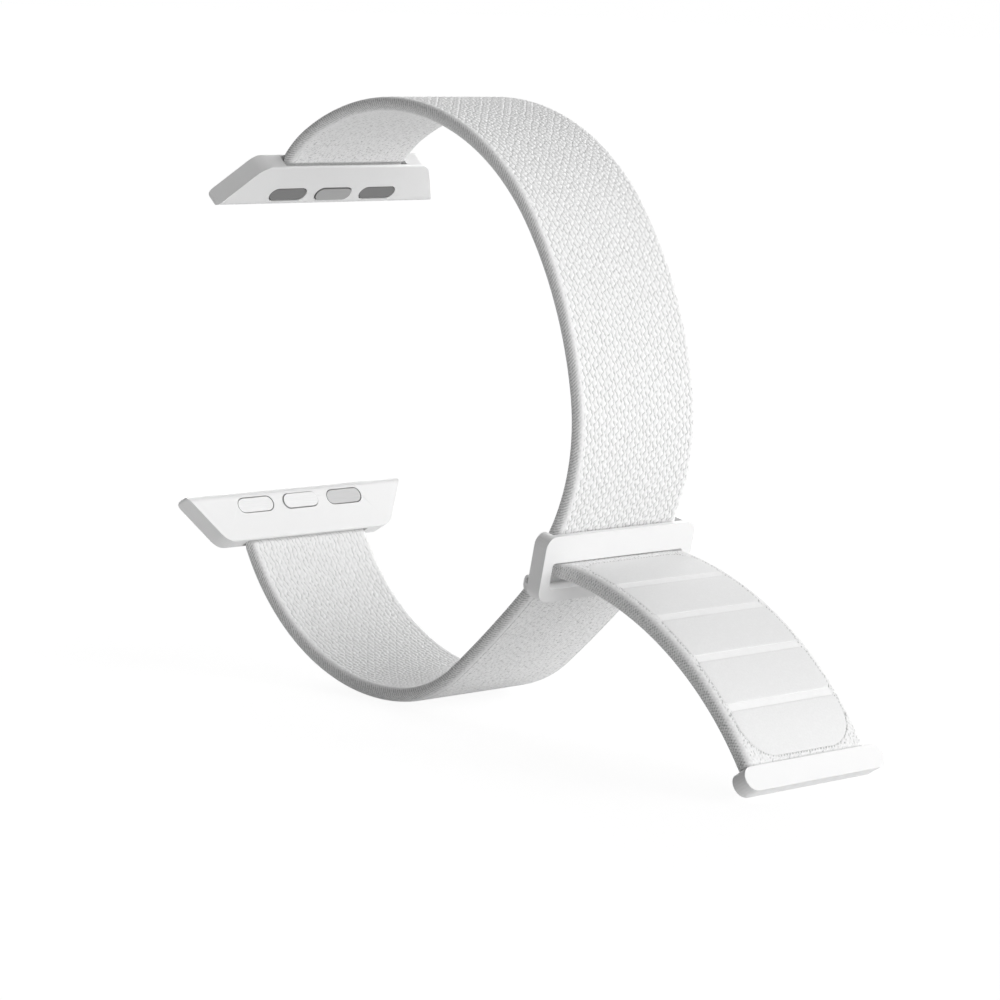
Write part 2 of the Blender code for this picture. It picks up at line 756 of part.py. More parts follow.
def world_points(piece):
    """A piece's vertices in world space, one row each."""
    points = np.empty(len(piece.data.vertices) * 3)
    piece.data.vertices.foreach_get("co", points)
    points = points.reshape(-1, 3)
    matrix = np.array(piece.matrix_world)
    return points @ matrix[:3, :3].T + matrix[:3, 3]


def lowest_after(points, angle):
    """Lowest height of points after the strap is turned about Y by an angle."""
    return (points[:, 2] * math.cos(angle) - points[:, 0] * math.sin(angle)).min()


def lean_until_it_rests(root, pieces):
    """Turn the strap until the lower band and the end cap touch one level, then set it on zero."""
    bpy.context.view_layer.update()
    points = {piece.name: world_points(piece) for piece in pieces}
    low, high = 0.0, math.radians(45.0)
    while high - low > math.radians(0.00001):
        middle = (low + high) / 2
        band = lowest_after(points["lower_band"], middle)
        cap = lowest_after(points["end_cap"], middle)
        low, high = (middle, high) if band < cap else (low, middle)
    root.rotation_euler.y = low
    bpy.context.view_layer.update()
    placed = np.concatenate([world_points(piece) for piece in pieces])
    bottom = placed.min(axis=0)
    top = placed.max(axis=0)
    root.location = (-(bottom[0] + top[0]) / 2, -(bottom[1] + top[1]) / 2, -bottom[2])
    bpy.context.view_layer.update()


def main():
    for item in list(bpy.data.objects):
        bpy.data.objects.remove(item)
    surfaces = {
        "nylon": material("white_nylon_weave", (0.82, 0.82, 0.81), 0.85),
        "plastic": material("white_moulded_plastic", (0.86, 0.86, 0.85), 0.35),
        "hooks": material("hook_strip", (0.74, 0.74, 0.73), 0.6),
        "pad": material("satin_grey_pad", (0.42, 0.42, 0.42), 0.35, 0.6),
        "steel": material("bright_steel", (0.62, 0.62, 0.62), 0.25, 1.0),
    }
    root = joint_empty("stance", None, (0.0, 0.0, 0.0))
    add_piece("buckle_frame", buckle_mesh(), surfaces["plastic"], root)
    add_piece("buckle_pin", buckle_pin_mesh(), surfaces["steel"], root)
    add_piece("upper_band", upper_band_mesh(), surfaces["nylon"], root)
    pin_x, pin_z = lower_pin_centre()
    swing = joint_empty("lower_band_swing", root, (pin_x, 0.0, pin_z))
    add_piece("lower_band", lower_band_mesh(), surfaces["nylon"], swing)
    add_lug("upper", lug_matrix(upper_band_path(), -1.0), root, surfaces)
    add_lug("lower", lug_matrix(lower_band_path(), 1.0), swing, surfaces)
    add_tail(root, surfaces)
    pieces = [item for item in bpy.data.objects if item.type == "MESH"]
    lean_until_it_rests(root, pieces)


main()
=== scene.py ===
# %% [markdown]
# # A woven nylon watch strap
#
# The strap is closed in a ring. One band runs from a snap-in lug over the top and down
# through a buckle, where it folds out as a tail with five patches of hook tape. A second band
# runs from the buckle under the wrist to the other lug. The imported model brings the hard
# pieces, and this notebook weaves the soft ones over it.

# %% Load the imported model
import json
import math

import bpy
import numpy as np
from mathutils import Matrix, Vector


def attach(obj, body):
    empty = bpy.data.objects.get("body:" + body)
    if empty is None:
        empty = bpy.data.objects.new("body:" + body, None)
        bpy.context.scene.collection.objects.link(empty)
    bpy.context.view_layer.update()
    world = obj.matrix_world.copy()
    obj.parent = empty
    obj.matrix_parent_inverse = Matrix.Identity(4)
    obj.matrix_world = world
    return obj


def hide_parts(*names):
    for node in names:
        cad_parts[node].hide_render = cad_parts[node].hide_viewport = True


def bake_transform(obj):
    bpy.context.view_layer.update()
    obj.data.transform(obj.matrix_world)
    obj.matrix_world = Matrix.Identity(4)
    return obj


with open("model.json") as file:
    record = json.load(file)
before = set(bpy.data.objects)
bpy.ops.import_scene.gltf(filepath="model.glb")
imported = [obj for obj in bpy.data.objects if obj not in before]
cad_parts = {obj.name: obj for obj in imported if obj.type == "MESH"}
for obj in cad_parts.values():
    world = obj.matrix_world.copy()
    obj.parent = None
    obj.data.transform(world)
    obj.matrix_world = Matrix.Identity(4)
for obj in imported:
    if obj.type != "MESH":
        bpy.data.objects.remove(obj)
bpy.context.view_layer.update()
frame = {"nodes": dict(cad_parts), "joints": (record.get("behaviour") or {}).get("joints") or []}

scene = bpy.context.scene

# %% [markdown]
# ## Where the side profile lies
#
# A flat ribbon that never twists is a side profile with a width. A point of the profile is
# kept as one complex number, x + i z: adding moves it, and multiplying by a number of length
# one turns it. The profile was drawn round the buckle, and the finished strap leans back a
# little, so the lean is found from two joints, the buckle's pin and the upper lug's pin.

# %% Paths of tangent arcs
MM = 0.001


def arc(radius, sweep):
    """A stretch of path as (length, turn in degrees), from a radius and a signed sweep."""
    return (radius * math.radians(abs(sweep)), sweep)


def straight(length):
    """A straight stretch, whose turn is too small to matter but not zero."""
    return (length, 1e-6)


def tangent_path(start, heading, stretches):
    """A path of tangent arcs as a function of distance: on an arc of curvature c the heading
    grows by c times the distance, and the point moves by the change of exp(i heading) / (i c).
    Before the first stretch and after the last, their arcs go on."""
    lengths = np.array([length for length, turn in stretches])
    turns = np.radians([turn for length, turn in stretches])
    bends = turns / lengths
    marks = np.concatenate([[0.0], np.cumsum(lengths)])
    headings = math.radians(heading) + np.concatenate([[0.0], np.cumsum(turns)])
    units = np.exp(1j * headings)
    points = start + np.concatenate([[0.0], np.cumsum(np.diff(units) / (1j * bends))])

    def at(distance):
        distance = np.asarray(distance, float)
        k = np.clip(np.searchsorted(marks, distance, side="right") - 1, 0, len(lengths) - 1)
        angle = headings[k] + bends[k] * (distance - marks[k])
        return points[k] + (np.exp(1j * angle) - units[k]) / (1j * bends[k]), angle

    return at, marks[-1]


# %% The lean of the finished strap
LOWER_PIN = complex(-3.45, -6.9) * MM
UPPER_START = complex(-2.65, -1.8) * MM
UPPER_HEADING = 69.0
UPPER_ARCS = [arc(26.6 * MM, 42.5), arc(49.7 * MM, 26.0), arc(32.0 * MM, 85.0), arc(15.8 * MM, 18.5)]
PIN_DISTANCE = 2.6 * MM

drawn_path, drawn_length = tangent_path(UPPER_START, UPPER_HEADING, UPPER_ARCS)
drawn_end, drawn_heading = drawn_path(drawn_length)
drawn_pin = drawn_end + PIN_DISTANCE * np.exp(1j * drawn_heading)
pins = {
    joint["name"]: complex(joint["pos_m"][0], joint["pos_m"][2])
    for joint in frame["joints"]
    if "pos_m" in joint
}
lean = (pins["upper_lug_swivel"] - pins["lower_band_swing"]) / (drawn_pin - LOWER_PIN)
lean /= abs(lean)
LEAN_DEGREES = math.degrees(np.angle(lean))
shift = pins["lower_band_swing"] - lean * LOWER_PIN
print("lean in degrees:", round(LEAN_DEGREES, 3))
print("moved in mm by:", round(shift.real / MM, 2), round(shift.imag / MM, 2))


def placed(point):
    """A drawn profile point, turned by the lean and moved to its place on the ground."""
    return lean * point + shift


# %% [markdown]
# ## The three paths of the ribbon
#
# The upper band starts behind the buckle's top bar, and the lower band on the buckle's pin.
# Each ends on the pin of its lug. The tail starts at the upper band's start, turns under the
# bar, leaves the slot and droops in one wide arc. Distances along each path place
# everything else.

# %% Paths of the two bands
LOWER_HEADING = -121.9
LOWER_ARCS = [arc(185.0 * MM, -6.3), arc(19.9 * MM, -32.0), arc(30.6 * MM, -69.3)]

upper_path, upper_pin = tangent_path(
    placed(UPPER_START), UPPER_HEADING + LEAN_DEGREES, UPPER_ARCS + [straight(PIN_DISTANCE)]
)
lower_path, lower_pin = tangent_path(
    placed(LOWER_PIN), LOWER_HEADING + LEAN_DEGREES, LOWER_ARCS + [straight(PIN_DISTANCE)]
)
print("band lengths in mm:", round(upper_pin / MM, 1), round(lower_pin / MM, 1))

# %% Path of the tail, and where its patches lie
PATCH_COUNT = 5
PATCH_PITCH = 7.28 * MM
PATCH_SPACING = 0.95 * MM
PATCH_LENGTH = PATCH_PITCH - PATCH_SPACING
PATCH_WIDTH = 18.6 * MM
TAIL_LEAD = 1.85 * MM
TAIL_RADIUS = 43.6 * MM
CAP_GAP = 0.8 * MM
CAP_POCKET = 1.8 * MM
CAP_START = TAIL_LEAD + PATCH_COUNT * PATCH_PITCH - PATCH_SPACING / 2 + CAP_GAP
TAIL_SWEEP = math.degrees((CAP_START + CAP_POCKET) / TAIL_RADIUS)

under_bar = [straight(0.5 * MM), arc(1.8 * MM, 116.35)]
turn_path, turn_length = tangent_path(UPPER_START, UPPER_HEADING - 180.0, under_bar)
mouth, mouth_heading = turn_path(turn_length)
SLOT_RUN = -mouth.real / math.cos(mouth_heading)
tail_path, tail_length = tangent_path(
    placed(UPPER_START),
    UPPER_HEADING - 180.0 + LEAN_DEGREES,
    under_bar + [straight(SLOT_RUN), arc(TAIL_RADIUS, -TAIL_SWEEP)],
)
FRONT = turn_length + SLOT_RUN
PATCH_STARTS = FRONT + TAIL_LEAD + PATCH_SPACING / 2 + PATCH_PITCH * np.arange(PATCH_COUNT)
BEND_PLACES = FRONT + TAIL_LEAD + PATCH_PITCH * np.arange(1, PATCH_COUNT)
CAP_EDGE = FRONT + CAP_START
print("tail length in mm:", round(tail_length / MM, 1))

# %% [markdown]
# ## Making a mesh from arrays
#
# numpy works out every point at once, and foreach_set copies whole arrays into the mesh.
# The normals come from the surface's own formula, so where one ribbon goes on in the next
# piece the shading runs on too and no seam shows.

# %% Mesh maker
def mesh_piece(name, points, quads, triangles=None, normals=None):
    """Object from an array of points and arrays of four- and three-cornered faces."""
    triangles = np.empty((0, 3), int) if triangles is None else np.asarray(triangles)
    quads = np.asarray(quads)
    corners = np.concatenate([quads.ravel(), triangles.ravel()])
    starts = np.concatenate([np.arange(len(quads)) * 4, 4 * len(quads) + np.arange(len(triangles)) * 3])
    mesh = bpy.data.meshes.new(name)
    mesh.vertices.add(len(points))
    mesh.vertices.foreach_set("co", np.asarray(points, np.float32).ravel())
    mesh.loops.add(len(corners))
    mesh.loops.foreach_set("vertex_index", corners.astype(np.int32))
    mesh.polygons.add(len(starts))
    mesh.polygons.foreach_set("loop_start", starts.astype(np.int32))
    mesh.update(calc_edges=True)
    mesh.shade_smooth()
    if normals is not None:
        mesh.normals_split_custom_set_from_vertices(np.asarray(normals, np.float32))
    piece = bpy.data.objects.new(name, mesh)
    scene.collection.objects.link(piece)
    return piece


def keep_values(piece, values):
    """Named numbers for each vertex, which a material reads by their names."""
    for name, numbers in values.items():
        attribute = piece.data.attributes.new(name, "FLOAT", "POINT")
        attribute.data.foreach_set("value", np.asarray(numbers, np.float32).ravel())


def tube(rows, loop):
    """Quads between rows of closed loops, and the number of the last row's first point. The
    point with number i of row r is r times the points of a loop, plus i."""
    index = np.arange(rows * loop).reshape(rows, loop)
    after = np.roll(index, -1, axis=1)
    quads = np.stack([index[:-1], after[:-1], after[1:], index[1:]], axis=-1).reshape(-1, 4)
    return quads, index[-1, 0]


def ease(low, high, value):
    """Smooth step: 0 below low, 1 above high, and 3t^2 - 2t^3 between."""
    t = np.clip((value - low) / (high - low), 0.0, 1.0)
    return t * t * (3.0 - 2.0 * t)


# %% [markdown]
# ## The ribbon's section
#
# Webbing has flat faces and round woven edges. Its section is one closed loop, which starts
# in the middle of one edge, crosses the face on the left of the path, turns round the other
# edge and comes back over the face on the right. The two halves mirror each other.

# %% Section of the ribbon
WIDTH = 21.0 * MM
HALF_THICKNESS = 0.95 * MM
EDGE_ROUND = 0.93 * MM
COLUMN = 0.65 * MM
FACE_STEP = COLUMN / 5
UPRIGHT_POINTS, QUARTER_POINTS = 2, 7


def half_section():
    """Half of the loop as columns: y, offset n, normal in y, normal in n. A flat face between
    two quarter circles of the edge's radius, with a short upright run below each."""
    flat = WIDTH / 2 - EDGE_ROUND
    upright = HALF_THICKNESS - EDGE_ROUND
    rise = np.linspace(0.0, upright, UPRIGHT_POINTS + 1)[:-1]
    quarter = np.linspace(math.pi, math.pi / 2, QUARTER_POINTS + 1)[:-1]
    face = np.linspace(-flat, flat, int(round(2 * flat / FACE_STEP)) + 1)
    edge_y = np.concatenate([np.full(UPRIGHT_POINTS, -WIDTH / 2), -flat + EDGE_ROUND * np.cos(quarter)])
    edge_n = np.concatenate([rise, upright + EDGE_ROUND * np.sin(quarter)])
    normal_y = np.concatenate([np.full(UPRIGHT_POINTS, -1.0), np.cos(quarter)])
    normal_n = np.concatenate([np.zeros(UPRIGHT_POINTS), np.sin(quarter)])
    y = np.concatenate([edge_y, face, -edge_y[::-1]])
    n = np.concatenate([edge_n, np.full(len(face), HALF_THICKNESS), edge_n[::-1]])
    ny = np.concatenate([normal_y, np.zeros(len(face)), -normal_y[::-1]])
    nn = np.concatenate([normal_n, np.ones(len(face)), normal_n[::-1]])
    return np.stack([y, n, ny, nn])


left_half = half_section()
right_half = left_half[:, -2:0:-1] * np.array([[1.0], [-1.0], [1.0], [-1.0]])
SECTION = np.concatenate([left_half, right_half], axis=1)
LEFT = np.arange(SECTION.shape[1]) < left_half.shape[1]
# The distance of each point round the loop, and 1 on the rolled edges but 0 on the faces.
loop_steps = np.hypot(np.diff(SECTION[0], prepend=SECTION[0, 0]), np.diff(SECTION[1], prepend=0.0))
AROUND = np.cumsum(loop_steps)
RIM = 1 - ease(0.6, 0.97, np.abs(SECTION[3]))
print("points round the section:", SECTION.shape[1])

# %% [markdown]
# ## The weave
#
# Two patterns cover the faces. The clear one is a row of chains along the strap: wavy lines,
# each one swaying against its neighbour, with the yarn swelling between them. The close one
# is a grain of small stitches, like tiny roof tiles. Both are real height, about a tenth of a
# millimetre, because on the top of the ring they show as rows of little teeth. How close a
# point is to a line is kept for the material, which paints shade into these crevices.

# %% Stitches
STITCH_LENGTH = 0.6 * MM
HALF_WIDE, HALF_TALL, TILT = 0.6, 0.8, 0.2
STRAY = 0.108
LINE = 0.13


def scatter(k, j):
    """A number from -1 to 1 that looks random but is the same for the same stitch: the part
    after the point of a large multiple of a sine."""
    wild = np.sin(12.9898 * k + 78.233 * j) * 4375.85
    return 2.0 * (wild - np.floor(wild)) - 1.0


def stitches(along, across):
    """(height, closeness to a line between stitches). A stitch is half an egg: the root of
    1 - u^2 - v^2, with u and v counted from its middle in shares of its half width and half
    length, less TILT times v, which lifts its lower end. The highest of the nine nearest
    stitches shows, and a line is where the two highest are equal. LINE sets its width, and
    STRAY how far a stitch may stray from its place."""
    column = np.floor(across / COLUMN)
    highest = np.full(np.broadcast(along, across).shape, -1.0)
    second = highest.copy()
    for k in (column - 1, column, column + 1):
        lag = 0.5 * np.mod(k, 2.0) + STRAY * np.sin(1.7 * k)
        row = np.round(along / STITCH_LENGTH - lag)
        for j in (row - 1, row, row + 1):
            u = (across / COLUMN - k - 0.5 - STRAY * scatter(k, j)) / HALF_WIDE
            v = (along / STITCH_LENGTH - lag - j - STRAY * scatter(j, k)) / HALF_TALL
            height = np.sqrt(np.clip(1.0 - u * u - v * v, 0.0, 1.0)) - TILT * v
            second = np.maximum(second, np.minimum(highest, height))
            highest = np.maximum(highest, height)
    return highest, np.exp(-(((highest - second) / LINE) ** 2))


# %% Chains
SECOND_SWING = 0.35
VALLEY, SWELL = 0.3, 0.45
DARK_LINE = 0.11 * MM


def strayed(along, across):
    """The two distances with slow sums of sines added, so that no two chains are the same."""
    s, y = 2 * math.pi * along / MM, 2 * math.pi * across / MM
    pace = along + MM * (0.13 * np.sin(y / 2.9 + s / 11.0) + 0.09 * np.sin(y / 1.7 - s / 7.0))
    lane = across + MM * (0.08 * np.sin(s / 3.7 + y / 9.0) + 0.05 * np.sin(s / 1.9 - y / 5.3))
    return pace, lane


def chains(along, across, loop, sway):
    """(height, painted crevice shade). Line k lies at k columns plus sway times sin(t) + SECOND_SWING
    sin(2t), with t a turn for each loop and half a turn more for each k. The height is
    1 - exp(-(d / VALLEY)^2), with d the columns to the nearest line, plus SWELL sin(2t) for
    rows. The painted shade is a quarter at a line, and more between rows."""
    pace, lane = strayed(along, across)
    t = 2 * math.pi * pace / loop
    gap = np.full(t.shape, 1.0)
    for odd, sign in ((0.0, 1.0), (COLUMN, -1.0)):
        offset = lane - odd - sway * (sign * np.sin(t) + SECOND_SWING * np.sin(2 * t))
        gap = np.minimum(gap, np.abs(offset - 2 * COLUMN * np.round(offset / (2 * COLUMN))))
    height = 1 - np.exp(-((gap / COLUMN / VALLEY) ** 2)) + SWELL * np.sin(2 * t)
    line = np.exp(-((gap / DARK_LINE) ** 2))
    return height, 0.25 * line + 0.12 * (1 - np.sin(2 * t))


# %% Knitted faces
STRIP = 1.0 * MM
GROOVE_DEPTH = 0.06 * MM
# A loop's length and its sway, in millimetres.
UPPER_LOOP, UPPER_SWAY = 1.33, 0.14
LOWER_LOOP, LOWER_SWAY = 1.63, 0.08


def selvage(across, groove=0.0):
    """(share of knit, groove): a smooth strip at each long side, and next to it a groove of
    the form exp(-d^2), with d in steps of 0.09 mm from its middle."""
    from_edge = WIDTH / 2 - np.abs(across)
    cut = groove * np.exp(-(((from_edge - STRIP + 0.1 * MM) / (0.09 * MM)) ** 2))
    return ease(STRIP - 0.3 * MM, STRIP, from_edge), cut


def grained(along, across, depth, groove=0.0, strength=0.8):
    """(height, painted crevice shade, chain share) of a face with close stitches of the given
    depth, whose columns are only two thirds as wide. The lines between stitches and the groove
    by each side get painted shade."""
    height, line = stitches(along, 1.5 * across)
    knit, cut = selvage(across, groove)
    height = knit * depth * (height - 0.8) - GROOVE_DEPTH * cut
    return height, np.clip(strength * knit * line + cut, 0.0, 1.0), np.zeros_like(height)


def chained(along, across, loop, sway, depth, strength=1.0):
    """The same for a face with chains. The material paints their thin lines as shade."""
    height, crevice_shade = chains(along, across, loop * MM, sway * MM)
    knit, cut = selvage(across)
    return knit * depth * (height - 1.0), strength * knit * crevice_shade, knit * np.ones_like(height)


def outer_upper(along, across):
    """Clear chains on the upper band's outer face."""
    return chained(along, across, UPPER_LOOP, UPPER_SWAY, 0.075 * MM)


def inner_upper(along, across):
    """Close stitches on the face towards the wrist, and under the tail."""
    return grained(along, across, 0.1 * MM)


def outer_lower(along, across):
    """Close stitches on the lower band's outer face, with a groove along each side."""
    return grained(along, across, 0.12 * MM, groove=0.6)


def inner_lower(along, across):
    """Long, shallow chains on the lower band's inner face."""
    return chained(along, across, LOWER_LOOP, LOWER_SWAY, 0.05 * MM, strength=0.3)


print("chains across the width:", int(WIDTH / COLUMN), "stitches:", int(1.5 * WIDTH / COLUMN))

# %% [markdown]
# ## Carrying the section along a path
#
# A ribbon is the section times the path: at each distance the loop stands across the path,
# its face follows the weave, and its thickness may change, as where the band narrows into a
# lug. Both ends are closed by strips that join mirrored points of the loop.

# %% Ribbon maker
def ribbon_points(path, distances, left_face, right_face, thickness, offset):
    """Points, painted crevice shades and chain shares: path + left (n thickness + offset) + y,
    pushed out along the section's normal by the weave's height, which fades where the ribbon
    is thin and on its rolled edges."""
    y, n, ny, nn = SECTION
    centre, heading = path(distances)
    left = 1j * np.exp(1j * heading)
    scale = thickness(distances)[:, None]
    s, across = distances[:, None], y[None, :]
    heights = np.empty((len(distances), len(y)))
    crevice_shades, shares = np.empty_like(heights), np.empty_like(heights)
    for mask, face in ((LEFT, left_face), (~LEFT, right_face)):
        heights[:, mask], crevice_shades[:, mask], shares[:, mask] = face(s, across[:, mask])
    relief = heights * ease(0.6, 0.97, scale) * ease(0.0, 0.8, np.abs(nn))[None, :]
    side = n * scale + relief * nn + offset(distances)[:, None]
    profile = centre[:, None] + left[:, None] * side
    points = np.stack([profile.real, y + relief * ny, profile.imag], axis=-1)
    return points, crevice_shades * np.abs(nn), shares * np.abs(nn)


def ribbon(name, path, distances, left_face, right_face, thickness, offset=np.zeros_like):
    """Closed ribbon piece over the given distances along a path. One more row before and
    after gives the normals, as the cross product of the steps around and along."""
    before = 2 * distances[0] - distances[1]
    beyond = 2 * distances[-1] - distances[-2]
    wider = np.concatenate([[before], distances, [beyond]])
    points, crevice_shades, shares = ribbon_points(path, wider, left_face, right_face, thickness, offset)
    along = points[2:] - points[:-2]
    around = (np.roll(points, -1, axis=1) - np.roll(points, 1, axis=1))[1:-1]
    normals = np.cross(around, along)
    normals /= np.linalg.norm(normals, axis=-1, keepdims=True)
    points, crevice_shades, shares = points[1:-1], crevice_shades[1:-1], shares[1:-1]
    rows, loop = points.shape[:2]
    quads, last = tube(rows, loop)
    j = np.arange(1, loop // 2 - 1)
    strips = np.stack([j, loop - j, loop - j - 1, j + 1], axis=-1)
    tips = np.array([[0, loop - 1, 1], [loop // 2 - 1, loop // 2 + 1, loop // 2]])
    quads = np.concatenate([quads, strips, strips[:, ::-1] + last])
    tips = np.concatenate([tips, tips[:, ::-1] + last])
    # One point of the rolled edge tells which way is out.
    row, probe = rows // 2, 5
    outwards = points[row, probe] - points[row].mean(axis=0)
    if (normals[row, probe] * outwards).sum() < 0:
        normals, quads, tips = -normals, quads[:, ::-1], tips[:, ::-1]
    piece = mesh_piece(name, points.reshape(-1, 3), quads, tips, normals.reshape(-1, 3))
    pace, lane = strayed(distances[:, None], SECTION[0][None, :])
    keep_values(piece, {
        "crevice_shade": crevice_shades,
        "chain": shares,
        "pace": pace / MM,
        "lane": lane / MM,
        "along": np.repeat(distances / MM, loop),
        "around": np.tile(AROUND / MM, rows),
        "rim": np.tile(RIM, rows),
    })
    print(name, "triangles:", 2 * len(quads) + len(tips))
    return piece


def spaced(start, end, step):
    """Distances from start to end, both included, about one step apart."""
    return np.linspace(start, end, max(2, int(round((end - start) / step)) + 1))


# %% [markdown]
# ## Helpers for materials
#
# A material is a tree of nodes. Each node reads numbers or other nodes' outputs and offers
# outputs of its own. Every helper here makes one such node, so that the materials below read
# almost like formulas.

# %% Node helpers
WHITE = (1.0, 1.0, 1.0, 1.0)


def new_material(name):
    """A material, its tree of nodes and its Principled shader."""
    made = bpy.data.materials.new(name)
    made.use_nodes = True
    tree = made.node_tree
    return made, tree, tree.nodes["Principled BSDF"]


def feed(tree, made, values):
    """Fill a node's inputs, by name or number: a number or a colour is set, an output of
    another node is linked."""
    for key, value in values.items():
        if isinstance(value, (int, float, tuple)):
            made.inputs[key].default_value = value
        else:
            tree.links.new(value, made.inputs[key])


def node(tree, kind, values, **properties):
    """A node of that kind with its properties set and its inputs filled."""
    made = tree.nodes.new(kind)
    for key, value in properties.items():
        setattr(made, key, value)
    feed(tree, made, values)
    return made


def reading(tree, name):
    """The output of an Attribute node that reads one of the mesh's own numbers."""
    return node(tree, "ShaderNodeAttribute", {}, attribute_name=name).outputs["Fac"]


def object_place(tree):
    """The point's place in its object's own space, in metres."""
    return node(tree, "ShaderNodeTexCoord", {}).outputs["Object"]


def math_node(tree, operation, first, second=0.0, third=0.0):
    """One step of arithmetic on sockets or numbers."""
    values = {0: first, 1: second, 2: third}
    return node(tree, "ShaderNodeMath", values, operation=operation).outputs[0]


def combine(tree, x, y):
    """Two numbers or sockets as one vector."""
    return node(tree, "ShaderNodeCombineXYZ", {0: x, 1: y}).outputs[0]


def noise(tree, vector, scale, detail=3.0):
    """Noise from 0 to 1 at that many features per unit of the vector."""
    values = {"Vector": vector, "Scale": scale, "Detail": detail}
    return node(tree, "ShaderNodeTexNoise", values).outputs["Fac"]


def ramp(tree, value, stops):
    """Colour ramp with stops of (place, grey level)."""
    made = node(tree, "ShaderNodeValToRGB", {"Fac": value})
    while len(made.color_ramp.elements) < len(stops):
        made.color_ramp.elements.new(0.5)
    for element, (place, level) in zip(made.color_ramp.elements, stops):
        element.position = place
        element.color = (level, level, level, 1.0)
    return made.outputs["Color"]


def bump(tree, height, distance, strength, under=None):
    """Bump normal from a height, laid over another bump."""
    values = {"Strength": strength, "Distance": distance, "Height": height}
    if under is not None:
        values["Normal"] = under
    return node(tree, "ShaderNodeBump", values).outputs["Normal"]


def mixed(tree, kind, factor, first, second, **properties):
    """The first value at factor 0, the second at factor 1, and a blend between."""
    values = {"Factor": factor, "A": first, "B": second}
    return node(tree, "ShaderNodeMix", values, data_type=kind, **properties).outputs["Result"]


def wave(tree, slope, pitch):
    """Sine of a value that repeats every pitch, in millimetres."""
    return math_node(tree, "SINE", math_node(tree, "MULTIPLY", slope, 2 * math.pi / pitch))


# %% [markdown]
# ## A first material: white nylon yarn
#
# Nylon yarn is a bundle of fine bright filaments, so it is dull from afar and has a soft sheen
# near the edge of sight. The colour is nearly white; painted shade greys the crevices, the
# chains' lines and the rolled edge. Fine filaments and the diagonal twill of the rolled edge
# are too small for the mesh, so they are bumps that read the ribbon's own distances.

# %% The yarn
HALF_LINE = 0.07
TWILL_PITCH, TWILL_SLANT = 0.4, 0.8
FILAMENT_PITCH, FILAMENT_SHARE = 0.11, 0.12
FUZZ_SHARE, LUMP_SHARE, GROOVE_SHARE = 0.35, 1.3, 0.32


def chain_lines(tree, loop, sway):
    """Painted shade on the thin lines of the chains, 0 to 1, from the same formula as their
    height, broken by noise into shorter and longer dashes."""
    pace, lane = reading(tree, "pace"), reading(tree, "lane")
    column = COLUMN / MM
    swing = math_node(tree, "MULTIPLY", wave(tree, pace, loop), sway)
    double = math_node(tree, "MULTIPLY_ADD", wave(tree, pace, loop / 2), -SECOND_SWING * sway, lane)
    even = math_node(tree, "PINGPONG", math_node(tree, "SUBTRACT", double, swing), column)
    other = math_node(tree, "ADD", math_node(tree, "ADD", double, swing), column)
    gap = math_node(tree, "MINIMUM", even, math_node(tree, "PINGPONG", other, column))
    sharp = math_node(tree, "MULTIPLY_ADD", gap, -1.0 / (2 * HALF_LINE), 1.0)
    sharp = math_node(tree, "MULTIPLY", math_node(tree, "MAXIMUM", sharp, 0.0), reading(tree, "chain"))
    dashes = ramp(tree, noise(tree, combine(tree, pace, lane), 1.6, 2.0), [(0.35, 0.15), (0.6, 1.0)])
    return math_node(tree, "MULTIPLY", sharp, dashes)


